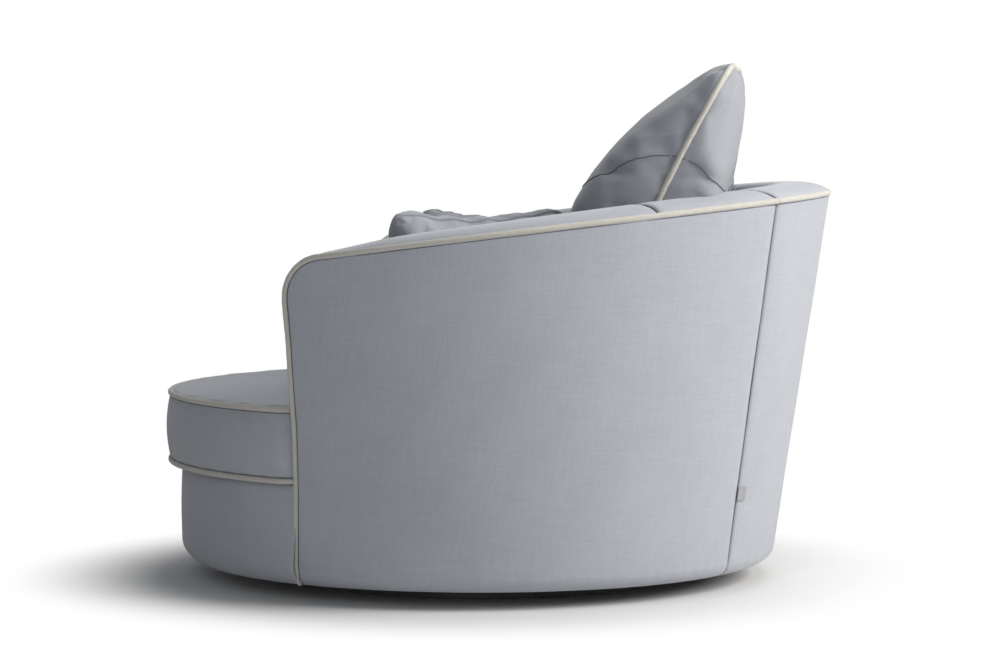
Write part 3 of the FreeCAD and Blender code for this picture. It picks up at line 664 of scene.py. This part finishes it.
def base_front():
    """Padded drum front between the arms, round at its foot."""
    rows = foot_rows(BASE_ROUND, 0.03, 12)
    profile = [(BASE_R - inset, FOOT_Z + h) for inset, h in rows]
    profile += [(BASE_R, z) for z in np.linspace(FOOT_Z + BASE_ROUND, BASE_TOP_Z - 0.0051, 22)[1:]]
    profile.append((BASE_R - 0.003, BASE_TOP_Z - 0.0014))
    profile += [(BASE_R - inset, BASE_TOP_Z) for inset in (0.012, 0.030)]
    points = []
    for turn in np.linspace(-1, 1, 130):
        column = []
        for r, z in profile:
            angle = 180 + turn * (180 - arm_end(z) + 0.25)
            full = 0.002 * math.sin(math.pi * min(max((z - 0.05) / 0.15, 0.0), 1.0))
            wave = 0.0006 * math.sin(angle * 0.5) * math.sin(z * 30 + angle * 0.3)
            column.append(polar(r + full + wave, angle, z))
        points.append(column)
    obj = sheet("base_front", points, cover, inward=1.0, offset=6.1)
    seat_on(obj, BODY, COVER, "base_front_cover", "base_front_pad")


def deck():
    """Dark cloth over the deck's pad, out to the front rail between the arms."""
    inside, front = 0.462, 0.522
    points = []
    for angle in np.linspace(0, 360, 145)[:-1]:
        turned = abs((angle + 180) % 360 - 180)
        edge = inside + (front - inside) * smooth(turned, 117.5, 119.5)
        column = []
        for k in range(26):
            r = edge * (1 - k / 25.02)
            z = DECK_Z - 0.0015 * (k == 0) + 0.0004 * math.sin(r * 70) * math.sin(angle * 0.2)
            column.append(polar(r, angle, z))
        points.append(column)
    plan = np.array(points + points[:1])
    cloth = (plan[:, :, 0], plan[:, :, 1])
    obj = grid("deck_cover", points, cover_dark, wrap_u=True, cloth=cloth, offset=7.7)
    seat_on(obj, BODY, "fabric_blue_grey_dark", "deck_cloth", "deck_pad")


def label():
    """Bare tape tab caught in the rear seam."""
    long, high, foot = 0.021, 0.023, 0.163
    points = []
    for a in np.linspace(0, long, 8):
        column = []
        for h in np.linspace(0, high, 8):
            z = foot + h
            angle = SEAM_OUTSIDE - math.degrees((a - 0.001) / 0.545)
            column.append(polar(outer_r(z) + 0.0012 + 0.0035 * (a / long) ** 2, angle, z))
        points.append(column)
    tab = sheet("label_tab_cloth", points, label_white, 0.0009, -1.0)
    seat_on(tab, BODY, "label_cloth", "label_tab")


# Seat

def turn_of(p):
    return math.degrees(math.atan2(p[0], p[1])) % 360


def arc(centre, radius, start, end, count):
    angles = np.linspace(start, end, count)
    return [(centre[0] + radius * sin(a), centre[1] + radius * cos(a)) for a in angles]


def seat_outline(front_r, rear_r, held):
    """Plan of the seat: a front arc past the arms with an ear each side, and an arc inside the tub."""
    end = SEAT_ARM_END
    u = np.array([sin(end), cos(end)])
    n = np.array([sin(end + 90), cos(end + 90)])
    shift, ear, crease = SEAT_ARM_GAP + held, SEAT_EAR - held, min(SEAT_CREASE + held, 0.03)
    inward = math.sqrt((rear_r + crease) ** 2 - (shift - crease) ** 2)
    crease_centre = u * inward + n * (shift - crease)
    along = math.sqrt((front_r - ear) ** 2 - (shift + ear) ** 2)
    ear_centre = u * along + n * (shift + ear)
    turn, ear_turn = turn_of(crease_centre), turn_of(ear_centre)
    side = arc((0, 0), rear_r, 0, turn, 120)
    side += arc(crease_centre, crease, turn + 180, end + 90, 14)[1:]
    side += arc(ear_centre, ear, end - 90, ear_turn, 34)
    side += arc((0, 0), front_r, ear_turn, 180, 90)[1:]
    other = [(-x, y) for x, y in side[1:-1]]
    return side + other[::-1]


def seat_ring(inset, count=420):
    held = max(inset, 0.0)
    rear_r = inner_r(0.30) - SEAT_WALL_GAP - held
    return resample(np.array(seat_outline(SEAT_R - inset, rear_r, held)), count)


def resample(ring, count):
    p = np.concatenate([ring, ring[:1]])
    d = np.concatenate([[0], np.cumsum(np.linalg.norm(np.diff(p, axis=0), axis=1))])
    at = np.linspace(0, d[-1], count + 1)[:-1]
    return np.stack([np.interp(at, d, p[:, k]) for k in range(2)], axis=1)


def at_height(ring, z):
    """A ring of the plan at one height, or at a height for each point."""
    return np.concatenate([ring, np.broadcast_to(z, len(ring))[:, None]], axis=1)


def seat_points():
    """Rings from the middle of the underside, out, up the boxing and in over the crown."""
    base, inner = seat_ring(0.0), seat_ring(SEAT_STEP_IN)
    move = (inner - base) / SEAT_STEP_IN
    turns = [turn_of(p) if p[0] >= 0 else 360 - turn_of(p) for p in base]
    front = np.array([smooth(turn, 112, 124) for turn in turns])
    k = np.arange(len(base))
    rows = [at_height(inner * (1 - t), 0.2062 + 0.001 * (1 - t) ** 6) for t in np.linspace(0.99, 0.0, 16)]
    rows.append(at_height(base + move * 0.008, SEAT_LOW - 0.0025))
    rows.append(at_height(base + move * 0.004, SEAT_LOW + 0.0005))
    for s in np.arange(SEAT_SIDE_ROWS) / (SEAT_SIDE_ROWS - 1):
        bulge = 0.0052 * math.sin(math.pi * s) ** 0.7 if 0 < s < 1 else 0.0
        inset = 0.0035 - bulge * 1.6 * front - bulge * 0.2 * (1 - front)
        pucker = 0.0009 * math.exp(-min(s, 1 - s) * 9) * np.sin(k * 0.9 + 2 * np.sin(k * 0.13))
        shape = base + move * (inset + pucker)[:, None]
        rows.append(at_height(shape, SEAT_LOW + 0.004 + (SEAT_HIGH - SEAT_LOW - 0.008) * s))
    rows.append(at_height(base + move * 0.004, SEAT_HIGH - 0.0005))
    rows.append(at_height(base + move * 0.0075, SEAT_HIGH + 0.0035))
    edge = base + move * 0.0095
    reach = np.linalg.norm(edge, axis=1)
    for t in list(np.linspace(0, 0.2, 12)) + list(np.linspace(0.23, 0.993, 28)):
        ring = edge * (1 - t)
        d = reach * t
        crown = np.sin(np.pi / 2 * np.minimum(1, (d + 0.008) / SEAT_CROWN_SPAN))
        up = SEAT_HIGH + 0.0045 + (SEAT_CROWN - 0.0015) * crown
        crease = 0.0011 * np.exp(-d / 0.035) * np.sin(k * 0.55 + 1.5 * np.sin(k * 0.09))
        soft = 0.0016 * np.sin(ring[:, 0] * 11 + 1) * np.sin(ring[:, 1] * 13) * min(1.0, t * 5)
        rows.append(at_height(ring, up + crease + soft))
    return rows


def seat_cloth(rows):
    """Cloth lengths: plain plan for the top and bottom panels, running length for the boxing."""
    p = np.array(rows)
    p = np.concatenate([p, p[:, :1]], axis=1)
    u, v = p[:, :, 0].copy(), p[:, :, 1].copy()
    below = 16 + 2
    side = slice(below, below + SEAT_SIDE_ROWS)
    u[side] = p[side, :, 2]
    v[side] = lengths(p, 1)[side]
    return u, v


def seat():
    rows = seat_points()
    cloth = seat_cloth(rows)
    obj = grid("seat_box_cushion", rows, cover, wrap_v=True, cloth=cloth, offset=8.4, caps=True)
    seat_on(obj, "seat", COVER, "seat_cushion")
    for name, z, down in (("top", SEAT_HIGH, 0.0056), ("bottom", SEAT_LOW, -0.0056)):
        # Painted shade: a dark line on the boxing just beside each cord of the seat.
        path = at_height(seat_ring(0.0022, 700), z - down)
        shade_strip = tube("seat_shade_line_" + name, path, SHADE_LINE_R, seam_shade_cloth, closed=True, sides=6)
        seat_on(shade_strip, "seat", COVER)
        path = at_height(seat_ring(0.0030, 700), z)
        piping = tube("seat_cord_" + name, path, PIPING_R, cream, closed=True, offset=z)
        seat_on(piping, "seat", PIPING, "seat_piping_" + name)


# Loose cushions

def to_pillow(x, s, n):
    """From the back pillow's own axes (across, up, out to the front) to the frame."""
    s -= PILLOW_TOP_BOW * (1 - (x / PILLOW_HALF) ** 2) * smooth(s, 0.30, PILLOW_HEIGHT)
    n += PILLOW_BEND * math.sin(math.pi * min(max((s - 0.26) / 0.36, 0.0), 1.0))
    s -= PILLOW_DROOP * smooth(-x, 0.10, PILLOW_HALF) * smooth(s, 0.40, PILLOW_HEIGHT)
    y = PILLOW_FOOT_Y + s * sin(PILLOW_LEAN) - n * cos(PILLOW_LEAN)
    z = SEAT_TOP + s * cos(PILLOW_LEAN) + n * sin(PILLOW_LEAN)
    return (x, y, z)


def pillow_power(s):
    """How square the pillow is across: boxy low down, lens-shaped near its top."""
    return 2.3 + 5.2 * (1 - smooth(s, 0.35, 0.56))


def pillow_half(s):
    """Half width at a height: round top corners and sides drawn in a little."""
    u = s / PILLOW_HEIGHT * 2 - 1
    corner = (1 - min(abs(u), 1.0) ** 8.0) ** (1 / 8.0)
    return PILLOW_HALF * corner * (1 - 0.020 * (1 - u ** 2))


def pillow_depth(s, front):
    """How far a face stands out from the pillow's middle plane at a height."""
    return float(np.interp(s, PILLOW_S, PILLOW_FRONT if front else PILLOW_REAR))


def even_columns(line, columns):
    """The same row of points with equal steps between them."""
    p = np.asarray(line)
    d = np.concatenate([[0], np.cumsum(np.linalg.norm(np.diff(p, axis=0), axis=1))])
    at = np.linspace(0, d[-1], columns + 1)
    return np.stack([np.interp(at, d, p[:, k]) for k in range(3)], axis=1)


def positions(mesh):
    flat = np.empty(len(mesh.vertices) * 3, dtype=np.float32)
    mesh.vertices.foreach_get("co", flat)
    return flat.reshape(-1, 3).astype(float)


def settle(obj, columns, growth):
    """Fills a cushion by cloth simulation: its piped edge is held, and no point moves past FILL_REACH."""
    rest = positions(obj.data)
    count, around = len(rest), 2 * columns
    held = [i for i in range(count) if i % columns == 0 or i < around or i >= count - around]
    obj.vertex_groups.new(name="held").add(held, 1.0, "REPLACE")
    middle = Vector(rest.mean(axis=0))
    facing = sum(p.normal.dot(p.center - middle) * p.area for p in obj.data.polygons)
    cloth = obj.modifiers.new("filling", "CLOTH")
    cloth.settings.quality = 6
    cloth.settings.mass = 0.25
    cloth.settings.tension_stiffness = 25
    cloth.settings.compression_stiffness = 25
    cloth.settings.shear_stiffness = 8
    cloth.settings.bending_stiffness = 0.6
    cloth.settings.use_pressure = True
    cloth.settings.uniform_pressure_force = math.copysign(FILL_PRESSURE, facing)
    cloth.settings.vertex_group_mass = "held"
    cloth.settings.shrink_min = -growth
    cloth.settings.effector_weights.gravity = 0.0
    cloth.point_cache.frame_start = 1
    cloth.point_cache.frame_end = FILL_FRAMES
    scene = bpy.context.scene
    for number in range(1, FILL_FRAMES + 1):
        scene.frame_set(number)
    shown = obj.evaluated_get(bpy.context.evaluated_depsgraph_get())
    moved = positions(shown.data) - rest
    reach = np.linalg.norm(moved, axis=1, keepdims=True)
    allowed = FILL_REACH * np.tanh(reach / FILL_REACH)
    moved *= np.minimum(1.0, allowed / np.maximum(reach, 1e-9))
    obj.modifiers.remove(cloth)
    obj.data.vertices.foreach_set("co", (rest + moved).ravel())
    obj.data.update()
    scene.frame_set(1)


def pillow_fold(x, s, half, sign):
    """Folds that the piping pulls up along the sides and the top of a face."""
    to_side, to_top = (1 - abs(x)) * half, PILLOW_HEIGHT - s
    along = math.sin(s * 95 + 2.0 * math.sin(s * 31) + (2 if x > 0 else 0) + sign)
    across = math.sin(x * half * 80 + 2.0 * math.sin(x * 9) + sign)
    deep = 0.0035 if sign > 0 else 0.0068
    fold = deep * math.exp(-(to_side / 0.045)) * along * min(1.0, to_side / 0.012)
    return fold + 0.0026 * math.exp(-(to_top / 0.04)) * across * min(1.0, to_top / 0.008)


def pillow_dent(x, s, half, sign):
    """Soft hollows in the middle of a face."""
    edge = min((1 - abs(x)) * half, s, PILLOW_HEIGHT - s)
    return 0.004 * math.sin(x * 3.1 + s * 9 + sign) * math.sin(s * 7 + 1) * min(1.0, edge / 0.06)


def pillow_points(sign):
    """One face of the pillow; sign 1 is the front."""
    points = []
    for i in range(PILLOW_ROWS + 1):
        t = i / PILLOW_ROWS
        s = PILLOW_HEIGHT * (0.4 * (0.5 - 0.5 * math.cos(math.pi * t)) + 0.6 * t)
        half = max(pillow_half(min(max(s, 0.0015), PILLOW_HEIGHT - 0.0015)), 0.02)
        low = min(1.0, s / 0.035)
        h = pillow_depth(s, sign > 0) * (1 - (1 - low) ** 2.6) ** (1 / 2.6)
        power = pillow_power(s)
        line = []
        for k in range(4 * PILLOW_COLUMNS + 1):
            x = -math.cos(math.pi * k / (4 * PILLOW_COLUMNS))
            full = (1 - abs(x) ** power) ** (1 / power)
            soft = pillow_fold(x, s, half, sign) + pillow_dent(x, s, half, sign)
            depth = max(0.0, h * full + soft * min(1.0, full * 3))
            line.append(to_pillow(x * half, s, sign * depth))
        points.append(even_columns(line, PILLOW_COLUMNS))
    return points


def ring_pair(name, front, rear, material, offset):
    """Front and rear faces of a cushion joined along their common edge."""
    front, rear = np.array(front), np.array(rear)
    both = np.concatenate([front, rear[:, ::-1][:, 1:-1]], axis=1)
    return grid(name, both, material, wrap_v=True, offset=offset)


def pillow_surface_x(n, s):
    """How far out the pillow's surface is at a depth and height."""
    power = pillow_power(s)
    return pillow_half(s) * (1 - min(abs(n) / pillow_depth(s, n > 0), 1.0) ** power) ** (1 / power)


def surface_of(obj):
    verts = [v.co for v in obj.data.vertices]
    return BVHTree.FromPolygons(verts, [tuple(p.vertices) for p in obj.data.polygons])


def on_surface(surface, point, lift):
    """The nearest place on a finished surface, lifted a little off it."""
    spot, normal, _, _ = surface.find_nearest(Vector(point))
    out = normal if normal.dot(Vector(point) - Vector(PILLOW_CORE)) > 0 else -normal
    return tuple(spot + out * lift)


def arch_leg(curve, n):
    """The seam's straight run from the foot of the pillow up to one end of the arch."""
    top = float(np.polyval(curve, n))
    x = pillow_surface_x(n, top)
    leg = []
    for s in np.linspace(0.03, top - 0.012, 40):
        power = pillow_power(s)
        share = 1 - min(x / pillow_half(s), 1.0) ** power
        leg.append((x, s, math.copysign(pillow_depth(s, n > 0) * max(share, 0.0) ** (1 / power), n)))
    return leg


def arch():
    """The curved seam on the pillow's end, with a leg down to the seat at both its ends."""
    curve = np.polyfit(ARCH_N, ARCH_S, 4)
    top = []
    for n in np.linspace(ARCH_N[0], ARCH_N[-1], 90):
        s = float(np.polyval(curve, n))
        top.append((pillow_surface_x(n, s), s, n))
    return arch_leg(curve, ARCH_N[0]) + top + arch_leg(curve, ARCH_N[-1])[::-1]


def back_pillow():
    # Painted shade: the pillow uses the darker copy of the blue-grey cloth.
    obj = ring_pair("pillow_body", pillow_points(1), pillow_points(-1), cover_pillow_painted_shade, 9.2)
    seat_on(obj, "pillow", COVER, "back_pillow")
    settle(obj, PILLOW_COLUMNS, PILLOW_GROWTH)
    right = [(pillow_half(s), s) for s in np.linspace(0.0015, PILLOW_HEIGHT - 0.0015, 400)]
    loop = right + [(-x, s) for x, s in right[::-1]]
    path = [to_pillow(x, s, 0.0) for x, s in evenly(loop, PIPING_STEP, True)]
    piping = tube("pillow_cord", path, PIPING_R, cream, closed=True, offset=1.9)
    seat_on(piping, "pillow", PIPING, "back_pillow_piping")
    surface = surface_of(obj)
    seam = arch()
    for name, side in SIDES:
        # Painted shade: a dark line along the arch seam on each end of the pillow.
        path = [on_surface(surface, to_pillow(side * x, s, n), 0.0003) for x, s, n in seam]
        line = tube("pillow_seam_" + name, evenly(path, 0.005), 0.0013, seam_shade_cloth, sides=6)
        seat_on(line, "pillow", COVER)


def scatter_place(side, yaw, foot):
    """Maps a cushion's own axes (across, up, out to the front) to the frame."""
    turn = (yaw - 90) * side

    def place(x, s, n):
        y = s * sin(SCATTER_LEAN) - n * cos(SCATTER_LEAN)
        z = s * cos(SCATTER_LEAN) + n * sin(SCATTER_LEAN)
        px = x * cos(turn) - y * sin(turn)
        py = x * sin(turn) + y * cos(turn)
        return (px + foot[0] * side, py + foot[1], SEAT_TOP + z)
    return place


def scatter_outline(x, s, size):
    """Square face with ears: its sides are drawn in between the corners."""
    half = size / 2
    px = x * (half - SCATTER_BOW * (1 - s * s))
    ps = s * (half - SCATTER_BOW * (1 - x * x))
    ear = SCATTER_EAR * max(0.0, abs(x * s) - 0.72) ** 2 / 0.078
    wave = 0.0022 * math.sin(x * 17 + s * 3) * (1 - x * x)
    return px - math.copysign(ear, x), ps + half - math.copysign(ear, s) + wave * abs(s) ** 8


def scatter_lift(x, s, seed):
    """How far a face stands out: a square dome with folds beside its piping and soft hollows."""
    full = ((1 - abs(x) ** 2.5) * (1 - abs(s) ** 2.5)) ** 0.46
    fold = 0.0
    for edge, wave in ((1 - abs(x), math.sin(s * 19 + seed + math.sin(s * 5))),
                       (1 - abs(s), math.sin(x * 18 + 2 * seed + math.sin(x * 6)))):
        fold += 0.05 * math.exp(-edge * 8) * wave * min(1.0, edge * 12)
    dent = 0.06 * math.sin(x * 3 + seed) * math.sin(s * 3.4 + 2 * seed) * full
    return max(0.0, SCATTER_DEPTH * (full * (1 + dent) + fold * min(1.0, full * 2)))


def scatter_points(place, size, sign, seed):
    points = []
    for i in range(SCATTER_ROWS + 1):
        t = i / SCATTER_ROWS
        s = -0.4 * math.cos(math.pi * t) + 0.6 * (2 * t - 1)
        line = []
        for k in range(4 * SCATTER_ROWS + 1):
            x = -math.cos(math.pi * k / (4 * SCATTER_ROWS))
            line.append(place(*scatter_outline(x, s, size), sign * scatter_lift(x, s, seed)))
        points.append(even_columns(line, SCATTER_ROWS))
    return points


def scatter_edge(place, size):
    """The cushion's piped edge, once round its four sides."""
    loop = []
    for k in range(400):
        corner = k // 100
        w = k % 100 / 50 - 1
        x, s = ((w, -1), (1, w), (-w, 1), (-1, -w))[corner]
        loop.append(scatter_outline(x, s, size))
    return [place(x, s, 0.0) for x, s in evenly(loop, 0.005, True)]


def scatters():
    for name, own in SCATTERS.items():
        side, size, seed = own["side"], own["size"], own["seed"]
        place = scatter_place(side, own["yaw"], own["foot"])
        faces = (scatter_points(place, size, 1, seed), scatter_points(place, size, -1, seed + 1.7))
        # Painted shade: the scatter cushions and their self piping use the darker copy of the blue-grey
        # cloth.
        obj = ring_pair("scatter_body_" + name, *faces, cover_scatter_painted_shade, 10.5 * side)
        seat_on(obj, name + "_scatter", COVER, "scatter_cushion_" + name)
        settle(obj, SCATTER_ROWS, SCATTER_GROWTH)
        edge = scatter_edge(place, size)
        piping = tube("scatter_cord_" + name, edge, SELF_PIPING_R, cover_scatter_painted_shade, closed=True, offset=2.7)
        seat_on(piping, name + "_scatter", COVER, "scatter_piping_" + name)


# Setting

CAMERA_LENS = 128.45
CAMERA_TURN, CAMERA_PITCH = 95.5, 3.63
CAMERA_AWAY, CAMERA_ACROSS, CAMERA_HEIGHT = 6.4, 0.033, 0.8375


def camera():
    data = bpy.data.cameras.new("camera")
    data.lens = CAMERA_LENS
    data.sensor_width = 36.0
    data.sensor_fit = "HORIZONTAL"
    obj = bpy.data.objects.new("camera", data)
    bpy.context.scene.collection.objects.link(obj)
    turn, pitch = CAMERA_TURN, CAMERA_PITCH
    back = Vector((sin(turn), -cos(turn), 0))
    right = Vector((cos(turn), sin(turn), 0))
    obj.location = back * CAMERA_AWAY + right * CAMERA_ACROSS + Vector((0, 0, CAMERA_HEIGHT))
    forward = Vector((-sin(turn) * cos(pitch), cos(turn) * cos(pitch), -sin(pitch)))
    obj.rotation_euler = forward.to_track_quat("-Z", "Y").to_euler()
    bpy.context.scene.camera = obj


def area_light(name, place, target, size, power, colour=(1, 1, 1)):
    data = bpy.data.lights.new(name, "AREA")
    data.shape = "RECTANGLE"
    data.size, data.size_y = size
    data.energy = power
    data.color = colour
    obj = bpy.data.objects.new(name, data)
    bpy.context.scene.collection.objects.link(obj)
    obj.location = place
    obj.rotation_euler = (Vector(target) - Vector(place)).to_track_quat("-Z", "Y").to_euler()


FLOOR_HALF = 14.0
FLOOR_COLOUR = (0.66, 0.66, 0.66)
FLOOR_FADE = (0.56, 0.87)
WHITE = (1, 1, 1, 1)
ROOM_TINT, ROOM_LIGHT = (0.93, 0.96, 1.0, 1), 0.13


def floor():
    """Pale floor that turns into the white backdrop a little way out from the chair."""
    mesh = bpy.data.meshes.new("floor")
    r = FLOOR_HALF
    mesh.from_pydata([(-r, -r, 0), (r, -r, 0), (r, r, 0), (-r, r, 0)], [], [(0, 1, 2, 3)])
    obj = bpy.data.objects.new("floor", mesh)
    bpy.context.scene.collection.objects.link(obj)
    g = material_graph("floor_paint")
    at = g.add("ShaderNodeTexCoord").outputs["Object"]
    colour = g.tint(FLOOR_COLOUR, g.spread(g.noise(at, 3.0, 2.0), 0.985, 1.015))
    paint = g.add("ShaderNodeBsdfPrincipled", {"Base Color": colour, "Roughness": 0.9})
    distance = g.add("ShaderNodeVectorMath", {0: at}, operation="LENGTH").outputs["Value"]
    near, far = FLOOR_FADE
    fade = g.add("ShaderNodeMapRange", {"Value": distance, "From Min": near, "From Max": far},
                 interpolation_type="SMOOTHSTEP").outputs["Result"]
    seen = g.add("ShaderNodeLightPath").outputs["Is Camera Ray"]
    glow = g.add("ShaderNodeEmission", {"Color": WHITE, "Strength": 1.0})
    share = g.math("MULTIPLY", fade, seen)
    mixed = g.add("ShaderNodeMixShader", {0: share, 1: paint.outputs[0], 2: glow.outputs[0]})
    g.add("ShaderNodeOutputMaterial", {0: mixed.outputs[0]})
    obj.data.materials.append(g.owner)


def backdrop():
    """White where it's seen, mirrored or looked through, and a dim cool light elsewhere."""
    world = bpy.data.worlds.new("studio")
    bpy.context.scene.world = world
    g = Graph(world)
    ray = g.add("ShaderNodeLightPath").outputs
    seen = g.math("MAXIMUM", ray["Is Camera Ray"], ray["Is Glossy Ray"])
    seen = g.math("MAXIMUM", seen, ray["Is Transmission Ray"])
    dim = g.add("ShaderNodeBackground", {0: ROOM_TINT, 1: ROOM_LIGHT})
    white = g.add("ShaderNodeBackground", {0: WHITE, 1: 1.0})
    mixed = g.add("ShaderNodeMixShader", {0: seen, 1: dim.outputs[0], 2: white.outputs[0]})
    g.add("ShaderNodeOutputWorld", {0: mixed.outputs[0]})


def studio():
    floor()
    backdrop()
    area_light("key", (0.92, 3.8, 2.35), (0, 0, 0.4), (2.4, 2.4), 246, (1.0, 0.98, 0.95))
    area_light("top", (0.0, 0.6, 3.4), (0, 0, 0.3), (2.2, 2.2), 40)
    area_light("far_side", (-3.2, 0.6, 2.6), (0, 0, 0.2), (2.4, 2.4), 22)
    area_light("fill", (4.8, -0.2, 1.4), (0, 0, 0.4), (2.4, 2.4), 52, (0.94, 0.97, 1.0))
    bpy.context.scene.view_settings.view_transform = "Standard"


finish_cad_nodes()
outside_panels()
inside_panels()
arm_front("right", 1)
arm_front("left", -1)
rim_piping()
base_front()
deck()
label()
seat()
back_pillow()
scatters()
camera()
studio()
